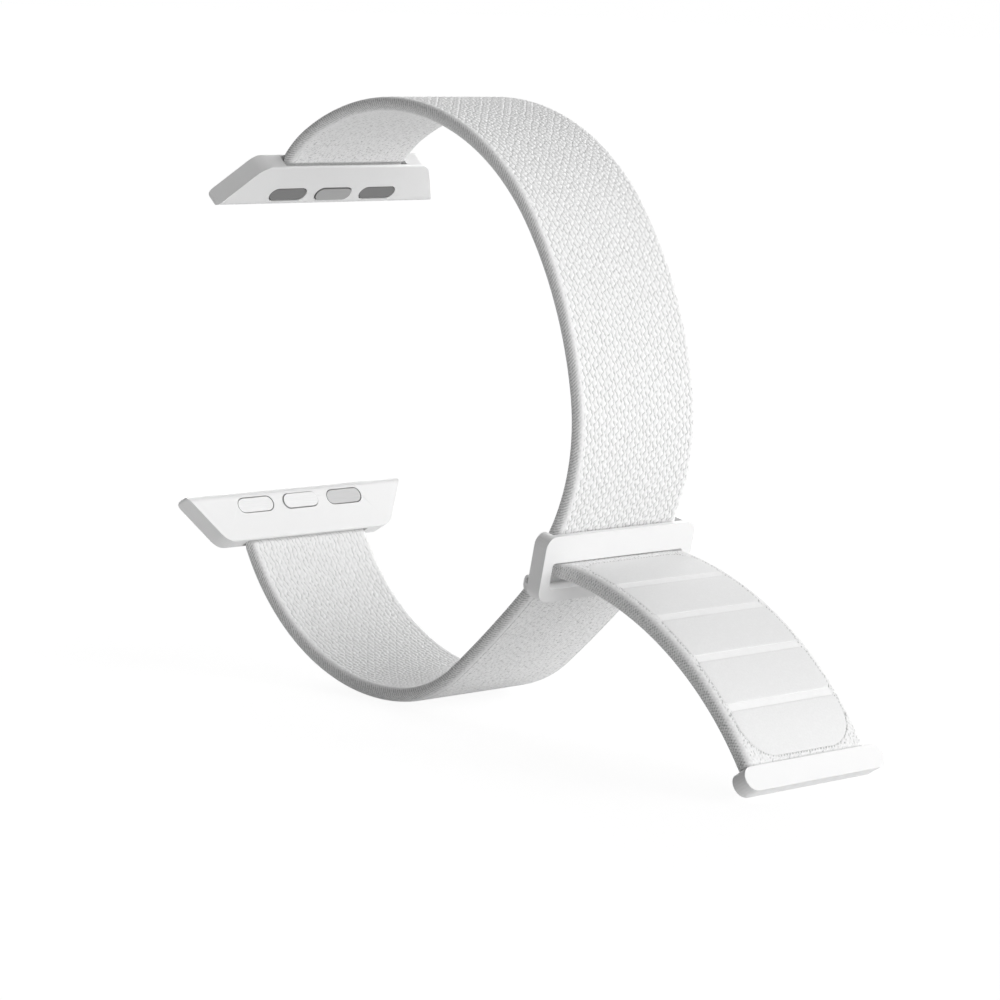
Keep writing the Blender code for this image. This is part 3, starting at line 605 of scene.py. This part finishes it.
def yarn_material(name, crevice_shade_grey, loop, sway, line_depth=1.0, crossed=0.0, rim_shade_grey=0.4):
    """White yarn. A depth adds up fuzz, painted shade in the crevices, lumps where there are no
    chains, painted shade on the chains' lines and, round the rim, painted shade of the rolled
    edge at the level that the last argument sets, broken by the twill's grooves, and a ramp
    turns it into grey. Filaments cross the faces and twill the rim, as bumps. Crossed adds a
    second twill the other way, which makes a net."""
    made, tree, shader = new_material(name)
    along, around = reading(tree, "along"), reading(tree, "around")
    rim, crevice_shade = reading(tree, "rim"), reading(tree, "crevice_shade")
    place = combine(tree, along, around)
    patchy = noise(tree, place, 0.7, 4.0)
    fuzz = noise(tree, place, 9.0, 2.0)
    lumps = noise(tree, combine(tree, along, math_node(tree, "MULTIPLY", around, 1.5)), 2.6, 2.0)
    lean_right = wave(tree, math_node(tree, "MULTIPLY_ADD", around, TWILL_SLANT, along), TWILL_PITCH)
    lean_left = wave(tree, math_node(tree, "MULTIPLY_ADD", around, -TWILL_SLANT, along), TWILL_PITCH)
    twill = math_node(tree, "MULTIPLY_ADD", lean_left, crossed, lean_right)
    # Painted shade on the rolled edge: a level darkening, broken by the twill's grooves.
    groove = math_node(tree, "MULTIPLY_ADD", twill, -GROOVE_SHARE / (1 + 0.5 * crossed), rim_shade_grey)
    deep = math_node(tree, "MULTIPLY_ADD", fuzz, FUZZ_SHARE, crevice_shade)
    # A painted crevice shade below zero marks the tail's welded bars, which have no lumps.
    plain = math_node(tree, "SUBTRACT", 1.0, reading(tree, "chain"))
    plain = math_node(tree, "MULTIPLY", plain, math_node(tree, "GREATER_THAN", crevice_shade, -0.02))
    lumpy = math_node(tree, "MULTIPLY", math_node(tree, "SUBTRACT", lumps, 0.5), plain)
    deep = math_node(tree, "MULTIPLY_ADD", lumpy, LUMP_SHARE, math_node(tree, "ADD", deep, 0.03))
    deep = math_node(tree, "MULTIPLY_ADD", groove, rim, deep)
    # Painted shade along the chains' lines.
    deep = math_node(tree, "MULTIPLY_ADD", chain_lines(tree, loop, sway), line_depth, deep)
    # The ramp turns the summed depth into grey: painted shade over the yarn's own fuzz and lumps.
    shade = ramp(tree, deep, [(0.0, 0.96), (0.2, 0.89), (0.45, 0.83), (1.0, crevice_shade_grey)])
    mottle = ramp(tree, patchy, [(0.3, 0.96), (0.7, 1.0)])
    filaments = wave(tree, math_node(tree, "MULTIPLY_ADD", fuzz, 0.03, around), FILAMENT_PITCH)
    weave = mixed(tree, "FLOAT", rim, math_node(tree, "MULTIPLY", filaments, FILAMENT_SHARE), twill)
    low = bump(tree, weave, 0.02 * MM, 0.8)
    feed(tree, shader, {
        "Base Color": mixed(tree, "RGBA", 1.0, shade, mottle, blend_type="MULTIPLY"),
        "Roughness": 0.8,
        "Specular IOR Level": 0.08,
        "Sheen Weight": 0.03,
        "Sheen Roughness": 0.4,
        "Normal": bump(tree, fuzz, 0.01 * MM, 0.6, low),
    })
    return made


def dressed(piece, material):
    """The piece with its material."""
    piece.data.materials.clear()
    piece.data.materials.append(material)
    return piece


white_yarn = yarn_material("white_yarn", 0.55, UPPER_LOOP, UPPER_SWAY, line_depth=0.8)
lower_yarn = yarn_material("white_yarn_lower_band", 0.52, LOWER_LOOP, LOWER_SWAY, line_depth=0.7)
# The tail's rolled edge gets a lighter painted shade.
tail_yarn = yarn_material("white_yarn_tail", 0.46, UPPER_LOOP, UPPER_SWAY, crossed=1.0, rim_shade_grey=0.28)
print("nodes in a yarn:", len(white_yarn.node_tree.nodes))

# %% [markdown]
# ## Upper band
#
# The longest run: from the buckle, up the side, over the top and down into the upper lug. It
# is three pieces, so that each stays light, and they meet on one section of the ribbon.
# Near each end the weave fades, first where the band passes behind the buckle's bar and last
# where it narrows into the lug's mouth.

# %% Upper band
FADE_IN, FADE_OUT = 1.2 * MM, 0.5 * MM
SMOOTH_END = 1.8 * MM
MOUTH_START, MOUTH_FULL, MOUTH_CUT = 2.7 * MM, 1.9 * MM, 0.45
LUG_LOOP, LUG_TIP = 0.85 * MM, 0.84 * MM
LEAST_SHARE = 0.02
UPPER_STEP = 0.18 * MM
UPPER_PIECES = [
    ("upper_band_side", 0.0, 36.0 * MM),
    ("upper_band_shoulder", 36.0 * MM, 74.0 * MM),
    ("upper_band_crown", 74.0 * MM, upper_pin),
]


def near_ends(face, end):
    """A face whose weave comes in at the start of a path and has faded out at the end."""
    def faded(along, across):
        cover = ease(0.0, FADE_IN, along) * (1 - ease(end - FADE_OUT, end, along))
        return [values * cover for values in face(along, across)]
    return faded


def into_lug(pin):
    """Thickness share near a lug: 1 outside, less MOUTH_CUT in its mouth, and about the pin
    the height of a circle, the root of LUG_LOOP^2 - d^2 at a distance d."""
    def share(s):
        narrow = 1.0 - MOUTH_CUT * ease(pin - MOUTH_START, pin - MOUTH_FULL, s)
        loop = np.sqrt(np.clip(LUG_LOOP ** 2 - (s - pin) ** 2, 0.0, None)) / HALF_THICKNESS
        return np.where(s < pin, np.maximum(narrow, loop), np.maximum(loop, LEAST_SHARE))
    return share


def round_end(centre, radius, sign):
    """Distances that end on a circle about a pin, closer together towards the tip."""
    steps = np.linspace(0.0, math.pi / 2, 9)
    return centre + sign * radius * (np.sin(steps) if sign > 0 else np.sin(steps[::-1]))


upper_faces = [near_ends(face, upper_pin - SMOOTH_END) for face in (inner_upper, outer_upper)]
for name, start, end in UPPER_PIECES:
    run = spaced(start, end, UPPER_STEP)
    if name == "upper_band_crown":
        run = np.concatenate([run[:-1], round_end(upper_pin, LUG_TIP, 1)])
    piece = ribbon(name, upper_path, run, *upper_faces, into_lug(upper_pin))
    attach(dressed(piece, white_yarn), "strap")
    if name == "upper_band_side":
        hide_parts("upper_band")

# %% [markdown]
# ## Lower band
#
# It starts round the buckle's pin and ends round the lower lug's pin. Its inner face, which
# the photograph shows well, has longer loops with thin, soft lines, and its outer face is a
# finer grain.

# %% Lower band
LOWER_STEP = 0.17 * MM
LOWER_SPLIT = 34.0 * MM
BUCKLE_LOOP, BUCKLE_TIP = 1.0 * MM, 0.99 * MM


def round_start(share):
    """A thickness that also comes to a round end about the pin at distance zero: times the
    root of 1 - (d / BUCKLE_LOOP)^2 at a distance d before it."""
    def both(s):
        tip = np.sqrt(np.clip(1.0 - (np.minimum(s, 0.0) / BUCKLE_LOOP) ** 2, LEAST_SHARE ** 2, 1.0))
        return share(s) * tip
    return both


lower_faces = [near_ends(face, lower_pin - SMOOTH_END) for face in (outer_lower, inner_lower)]
near_run = [round_end(0.0, BUCKLE_TIP, -1)[:-1], spaced(0.0, LOWER_SPLIT, LOWER_STEP)]
far_run = [spaced(LOWER_SPLIT, lower_pin, LOWER_STEP)[:-1], round_end(lower_pin, LUG_TIP, 1)]
for name, run in (("lower_band_run", near_run), ("lower_band_bend", far_run)):
    thickness = round_start(into_lug(lower_pin))
    piece = ribbon(name, lower_path, np.concatenate(run), *lower_faces, thickness)
    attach(dressed(piece, lower_yarn), "lower_band_body")
    if name == "lower_band_run":
        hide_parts("lower_band")

# %% [markdown]
# ## Tail
#
# The same ribbon goes on past the buckle. Its top is woven close round the hook patches, so
# the border stands nearly level with them, and the bars between patches are welded
# smooth. The distance to a rounded rectangle tells where patch, bar and border are. The tail
# bends between the patches, so each piece of fabric spans one bend and meets the next
# one under a patch, where no seam shows.

# %% Tail's top face
BORDER_RISE = 0.36 * MM
SMALL_CORNER = 0.7 * MM
# The corner radii at each patch's two ends, first the end nearer to the buckle.
CORNERS = [(SMALL_CORNER, SMALL_CORNER) for patch in range(PATCH_COUNT)]
CORNERS[0] = (3.0 * MM, SMALL_CORNER)
CORNERS[-1] = (SMALL_CORNER, 4.6 * MM)


def patch_distance(along, across):
    """Signed distance to the nearest hook patch, negative on it: that of a rectangle with
    round corners, the length of the part outside the core less the corner's radius."""
    nearest = np.full(np.broadcast(along, across).shape, 1.0)
    for start, (first, last) in zip(PATCH_STARTS, CORNERS):
        middle = start + PATCH_LENGTH / 2
        radius = np.where(along < middle, first, last)
        out_s = np.abs(along - middle) - PATCH_LENGTH / 2 + radius
        out_y = np.abs(across) - PATCH_WIDTH / 2 + radius
        outside = np.hypot(np.maximum(out_s, 0.0), np.maximum(out_y, 0.0))
        inside = np.minimum(np.maximum(out_s, out_y), 0.0)
        nearest = np.minimum(nearest, outside + inside - radius)
    return nearest


def tail_top(along, across):
    """(height, painted crevice shade, chain share): a woven border raised to the patches' level,
    with smooth bars. Round the patches runs a line of dots of painted shade in the groove, a
    sine of along + across on the curve exp(-d^2), with d in tenths of a millimetre from its
    middle."""
    gap = patch_distance(along, across)
    first, last = PATCH_STARTS[0], PATCH_STARTS[-1] + PATCH_LENGTH
    # The bars lie between the first patch's front end and the last one's round end.
    middle = (along > first + MM) & (along < last - 5.0 * MM)
    side = PATCH_WIDTH / 2
    bar = middle * (1 - ease(side - 0.5 * MM, side - 0.1 * MM, np.abs(across)))
    beside_bar = ease(-0.6 * MM, -0.4 * MM, gap)
    raised = bar * beside_bar + (1 - bar) * ease(-0.25 * MM, -0.08 * MM, gap)
    raised = raised * ease(FRONT + 0.5 * MM, FRONT + 1.4 * MM, along)
    raised = raised * (1 - ease(CAP_EDGE - 0.5 * MM, CAP_EDGE - 0.1 * MM, along))
    height, crevice_shade, chain_share = grained(along, across, 0.09 * MM, strength=0.7)
    edge = np.exp(-(((gap - 0.1 * MM) / (0.1 * MM)) ** 2))
    dots = 0.5 + 0.5 * np.sin(2 * math.pi * (along + across) / (0.5 * MM))
    # Painted shade: dots in the groove round each patch, and a mark below zero on the bars.
    crevice_shade = (1 - bar) * np.maximum(crevice_shade, 1.1 * edge * dots) - 0.2 * bar
    return height * (1 - bar) + BORDER_RISE * raised, crevice_shade, chain_share


# %% Tail's fabric, one piece over each bend
TAIL_STEP = 0.19 * MM
FIRST_BEND = FRONT + 1.0 * MM
POCKET_CUT, POCKET_STEP = 0.37, 0.6 * MM


def tail_thickness(s):
    """Full until the end cap's pocket, then less POCKET_CUT, thin enough to enter it."""
    return 1.0 - POCKET_CUT * ease(CAP_EDGE - 0.15 * MM, CAP_EDGE + 0.05 * MM, s)


def tail_offset(s):
    """The fabric steps up by POCKET_STEP, away from the wrist, to enter the pocket."""
    return POCKET_STEP * ease(CAP_EDGE - 0.25 * MM, CAP_EDGE, s)


def tail_spot(s):
    """A point of the tail's path as a place in space, on the strap's middle plane."""
    point = tail_path(s)[0]
    return (float(point.real), 0.0, float(point.imag))


# The weave doesn't fade at the tail's end, so its end is set beyond the last row.
tail_faces = [near_ends(face, tail_length + MM) for face in (tail_top, inner_upper)]
joins = PATCH_STARTS + PATCH_LENGTH / 2
stops = np.concatenate([[0.0], joins[:-1], [tail_length]])
bends = np.concatenate([[FIRST_BEND], BEND_PLACES])
reaches = [1.1 * MM] + [1.4 * MM] * (PATCH_COUNT - 1)
for n in range(PATCH_COUNT):
    run = spaced(stops[n], stops[n + 1], TAIL_STEP)
    piece = ribbon(f"tail_fabric_{n + 1}", tail_path, run, *tail_faces, tail_thickness, tail_offset)
    dressed(piece, tail_yarn)
    start, end = tail_spot(bends[n] - reaches[n]), tail_spot(bends[n] + reaches[n])
    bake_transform(piece)
    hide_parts(f"tail_{n + 1}")

# %% [markdown]
# ## Hook patches
#
# Hook tape is a flat sheet with a dense fur of tiny plastic hooks, which reads as a pale
# grey satin. Each patch is an outline carried up a small rounded profile, closed by strips
# across the width so that it follows the tail's curve.

# %% Hook tape material
hook_tape, tree, shader = new_material("grey_hook_tape")
place = combine(tree, reading(tree, "along"), reading(tree, "across"))
hooks = node(tree, "ShaderNodeTexVoronoi", {"Vector": place, "Scale": 3.4}).outputs["Distance"]
grain = noise(tree, place, 6.0, 3.0)
tint = math_node(tree, "MULTIPLY_ADD", grain, 0.6, math_node(tree, "MULTIPLY", hooks, 0.35))
feed(tree, shader, {
    "Base Color": ramp(tree, tint, [(0.2, 0.79), (0.8, 0.85)]),
    "Roughness": 0.65,
    "Specular IOR Level": 0.3,
    "Normal": bump(tree, grain, 0.03 * MM, 0.5, bump(tree, hooks, 0.02 * MM, 0.5)),
})
print("nodes in the hook tape:", len(tree.nodes))

# %% Patches
PATCH_BASE = HALF_THICKNESS + 0.02 * MM
CORNER_POINTS, SIDE_POINTS = 13, 20
# Inset and rise of each ring, in millimetres.
PATCH_PROFILE = [
    (0.03, 0.0), (0.0, 0.04), (0.0, 0.29), (0.02, 0.34), (0.06, 0.365), (0.14, 0.375), (0.4, 0.38)
]


def patch_outline(first, last, inset):
    """Half of a patch's outline, from one end to the other on the +Y side, as (s, y): two
    quarter circles and a straight side, all moved inwards by inset."""
    half_length = PATCH_LENGTH / 2 - inset
    half_width = PATCH_WIDTH / 2 - inset
    a, b = max(first - inset, 0.1 * MM), max(last - inset, 0.1 * MM)
    quarter = np.linspace(0.0, math.pi / 2, CORNER_POINTS)
    front = np.stack([-half_length + a - a * np.cos(quarter), half_width - a + a * np.sin(quarter)])
    back = np.stack([half_length - b + b * np.sin(quarter), half_width - b + b * np.cos(quarter)])
    side = np.linspace(front[0, -1], back[0, 0], SIDE_POINTS + 2)[1:-1]
    return np.concatenate([front, [side, np.full(SIDE_POINTS, half_width)], back], axis=1)


def hook_patch(name, start, corners):
    """Closed plate: rings of the outline at growing height and inset, then strips across."""
    rings = []
    for inset, rise in PATCH_PROFILE:
        s, y = patch_outline(*corners, inset * MM)
        loop_s, loop_y = np.concatenate([s, s[::-1]]), np.concatenate([y, -y[::-1]])
        centre, heading = tail_path(start + PATCH_LENGTH / 2 + loop_s)
        point = centre + 1j * np.exp(1j * heading) * (PATCH_BASE + rise * MM)
        rings.append(np.stack([point.real, loop_y, point.imag, loop_s], axis=-1))
    points = np.array(rings)
    rows, loop = points.shape[:2]
    quads, last = tube(rows, loop)
    quads = quads[:, [0, 3, 2, 1]]
    j = np.arange(loop // 2 - 1)
    strips = np.stack([j, j + 1, loop - 2 - j, loop - 1 - j], axis=-1)
    quads = np.concatenate([quads, strips, strips[:, ::-1] + last])
    piece = mesh_piece(name, points[..., :3].reshape(-1, 3), quads)
    keep_values(piece, {"along": points[..., 3] / MM, "across": points[..., 1] / MM})
    return piece


for n, (start, corners) in enumerate(zip(PATCH_STARTS, CORNERS), start=1):
    piece = dressed(hook_patch(f"hook_tape_{n}", start, corners), hook_tape)
    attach(piece, f"tail_stretch_{n}")
    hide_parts(f"hook_patch_{n}")
print("hook patches:", len(PATCH_STARTS))

# %% [markdown]
# ## Moulded plastic, satin pads and steel
#
# Lugs, buckle and end cap are white plastic with a very fine, even surface: a faint grain in
# the roughness keeps the highlights from looking like glass. The pads are satin metal,
# brushed along their length, in lit and shaded copies: painted shade darkens them in the upper
# lug, which faces down, and painted light brightens them in the lower lug, which faces the
# light. The nodes keep their own shapes, and a narrow bevel rounds the edges that a mould
# would round.

# %% Plastic and metal
BRUSHED = (9000.0, 350.0, 9000.0)


def plastic_material(name, level):
    """Smooth white plastic with a faint mottle in colour, roughness and surface."""
    made, tree, shader = new_material(name)
    place = object_place(tree)
    cloud = noise(tree, place, 220.0, 3.0)
    grain = noise(tree, place, 5200.0, 2.0)
    feed(tree, shader, {
        "Base Color": ramp(tree, cloud, [(0.3, level - 0.012), (0.7, level)]),
        "Roughness": ramp(tree, cloud, [(0.2, 0.4), (0.8, 0.5)]),
        "Specular IOR Level": 0.4,
        "Normal": bump(tree, grain, 0.006 * MM, 0.4),
    })
    return made


def metal_material(name, level, roughness, metallic):
    """Brushed metal: noise drawn out along Y, which is the length of every pad and pin."""
    made, tree, shader = new_material(name)
    stretch = node(tree, "ShaderNodeMapping", {"Vector": object_place(tree), "Scale": BRUSHED})
    lines = noise(tree, stretch.outputs["Vector"], 1.0, 2.0)
    feed(tree, shader, {
        "Base Color": ramp(tree, lines, [(0.3, level * 0.92), (0.7, level)]),
        "Roughness": ramp(tree, lines, [(0.2, roughness - 0.06), (0.8, roughness + 0.06)]),
        "Metallic": metallic,
        "Normal": bump(tree, lines, 0.004 * MM, 0.5),
    })
    return made


white_plastic = plastic_material("white_moulded_plastic", 0.82)
steel = metal_material("bright_steel_wire", 0.62, 0.3, 1.0)
# Lit and shaded copies of one satin pad: painted shade on the upper lug's pads and catch, painted light
# on the lower lug's, with its far pad between.
shaded_pad = metal_material("satin_pad_shaded", 0.2, 0.4, 0.7)
shaded_catch_pad = metal_material("satin_pad_shaded_catch", 0.38, 0.4, 0.7)
lit_pad = metal_material("satin_pad_lit", 0.74, 0.5, 0.1)
far_pad = metal_material("satin_pad_lit_far", 0.5, 0.5, 0.1)
print(*(made.name for made in (white_plastic, steel, shaded_pad, shaded_catch_pad, lit_pad, far_pad)))

# %% Finishes and moulded edges
FINISHES = {
    "buckle_frame": white_plastic,
    "end_cap": white_plastic,
    "upper_lug_body": white_plastic,
    "lower_lug_body": white_plastic,
    "buckle_pin": steel,
    "upper_lug_pin": steel,
    "lower_lug_pin": steel,
    "upper_catch_spring": steel,
    "lower_catch_spring": steel,
    # The upper lug's pads take the painted shade, the lower lug's the painted light.
    "upper_lug_near_pad": shaded_pad,
    "upper_lug_far_pad": shaded_pad,
    "upper_catch": shaded_catch_pad,
    "lower_lug_near_pad": lit_pad,
    "lower_catch": lit_pad,
    "lower_lug_far_pad": far_pad,
}
# Widths of the rounded edges, in millimetres.
MOULDED_EDGES = {"buckle_frame": 0.25, "end_cap": 0.3, "upper_lug_body": 0.2, "lower_lug_body": 0.2}
WELD_DISTANCE = 0.005 * MM
SHARPEST_KEPT = math.radians(40.0)

nodes = frame["nodes"]
for name, finish in FINISHES.items():
    mesh = nodes[name].data
    mesh.materials.clear()
    mesh.materials.append(finish)
for name, width in MOULDED_EDGES.items():
    weld = nodes[name].modifiers.new("merge doubles", "WELD")
    weld.merge_threshold = WELD_DISTANCE
    soften = nodes[name].modifiers.new("moulded edges", "BEVEL")
    soften.width = width * MM
    soften.segments = 3
    soften.limit_method = "ANGLE"
    soften.angle_limit = SHARPEST_KEPT
    soften.use_clamp_overlap = True
print("finishes:", len(FINISHES), "rounded:", len(MOULDED_EDGES))

# %% [markdown]
# ## Floor and light
#
# The strap stands on a plain white floor in a broad, soft light from the right and behind: the
# outer face is bright and the near edges fall into shade. The lamps are suns with a wide
# disc, because their light is the same everywhere and needs no placing. One shines from the
# right, one from behind on the right and one from behind on the left, and an even grey sky
# fills the shade. The floor also glows faintly, though it is no lamp, and that glow lights the
# underside, while the camera sees it nearly white by itself, with only a trace of the strap's
# shadow.

# %% Floor
HALF_FLOOR = 4.0
FLOOR_DROP = 0.05 * MM
WHITE_FLOOR = 0.9
# The floor's own faint glow for all other rays, a light that is no lamp, lights the underside.
GLOW = 0.1


def seen_itself(tree):
    """1 for rays by which the camera sees a thing itself, straight, in a mirror or through
    glass, and 0 for rays that only carry its light to other things."""
    rays = node(tree, "ShaderNodeLightPath", {}).outputs
    mirrored = math_node(tree, "MAXIMUM", rays["Is Glossy Ray"], rays["Is Transmission Ray"])
    return math_node(tree, "MAXIMUM", rays["Is Camera Ray"], mirrored)


floor_corners = HALF_FLOOR * np.array([[-1, -1, 0], [1, -1, 0], [1, 1, 0], [-1, 1, 0]])
floor = mesh_piece("studio_floor", floor_corners - [0.0, 0.0, FLOOR_DROP], [[0, 1, 2, 3]])
floor_paint, tree, shader = new_material("studio_white")
seen = seen_itself(tree)
mottle = noise(tree, object_place(tree), 3.0)
paint = ramp(tree, mottle, [(0.3, 0.8), (0.7, 0.82)])
trace = ramp(tree, mottle, [(0.3, 0.16), (0.7, 0.17)])
feed(tree, shader, {
    "Base Color": mixed(tree, "RGBA", seen, paint, trace),
    "Roughness": 1.0,
    "Specular IOR Level": 0.0,
    "Emission Color": WHITE,
    "Emission Strength": math_node(tree, "MULTIPLY_ADD", seen, WHITE_FLOOR - GLOW, GLOW),
})
floor.data.materials.append(floor_paint)
print("floor in m:", 2 * HALF_FLOOR)

# %% World
AMBIENT = 0.13

world = bpy.data.worlds.new("studio")
world.use_nodes = True
scene.world = world
tree = world.node_tree
sky_strength = math_node(tree, "MULTIPLY_ADD", seen_itself(tree), 1.0 - AMBIENT, AMBIENT)
feed(tree, tree.nodes["Background"], {"Color": WHITE, "Strength": sky_strength})
print("sky's light:", AMBIENT)

# %% Lamps
DISC = math.radians(60.0)
# Name, direction that the light comes from, and level: at level 1 a white sheet that faces
# the lamp looks white.
LAMPS = [
    ("right_sun", (1.0, 0.0, 0.15), 0.65),
    ("far_right_sun", (0.5, 0.8, 0.3), 0.74),
    ("far_left_sun", (-0.75, 0.55, 0.2), 0.84),
]
for name, direction, level in LAMPS:
    lamp = bpy.data.lights.new(name, "SUN")
    lamp.energy = level * math.pi
    lamp.angle = DISC
    holder = bpy.data.objects.new(name, lamp)
    scene.collection.objects.link(holder)
    holder.rotation_mode = "QUATERNION"
    holder.rotation_quaternion = Vector(direction).to_track_quat("Z", "Y")
print("lamps:", len(LAMPS))

# %% [markdown]
# ## The photograph's camera
#
# The camera was fitted to straight edges of the strap in the photograph, in the frame in
# which the profile was drawn: three angles, a distance, a point to look at and a lens. The
# strap's lean turns the camera too, so that the picture stays the same.

# %% Camera
SWING, LIFT, ROLL = (math.radians(angle) for angle in (44.59, 16.14, 9.81))
DISTANCE = 463.49 * MM
AIM = np.array([-22.25, 0.0, -3.47]) * MM
LENS, SENSOR = 129.14, 36.0


def leant(vector):
    """A direction drawn in the buckle's frame, turned by the strap's lean."""
    flat = complex(vector[0], vector[2]) * lean
    return np.array([flat.real, vector[1], flat.imag])


back = np.array([math.sin(SWING) * math.cos(LIFT), -math.cos(SWING) * math.cos(LIFT), math.sin(LIFT)])
level = np.array([math.cos(SWING), math.sin(SWING), 0.0])
upright = np.cross(back, level)
right = level * math.cos(ROLL) + upright * math.sin(ROLL)
up = -level * math.sin(ROLL) + upright * math.cos(ROLL)
stand = leant(back * DISTANCE + AIM) + np.array([shift.real, 0.0, shift.imag])
pose = Matrix.Identity(4)
for k, axis in enumerate((right, up, back)):
    pose.col[k][:3] = leant(axis)
pose.col[3][:3] = stand
camera = bpy.data.objects.new("camera", bpy.data.cameras.new("camera"))
scene.collection.objects.link(camera)
camera.data.lens = LENS
camera.data.sensor_width = SENSOR
camera.matrix_world = pose
scene.camera = camera
scene.view_settings.view_transform = "Standard"
print("camera at, in mm:", np.round(stand / MM))
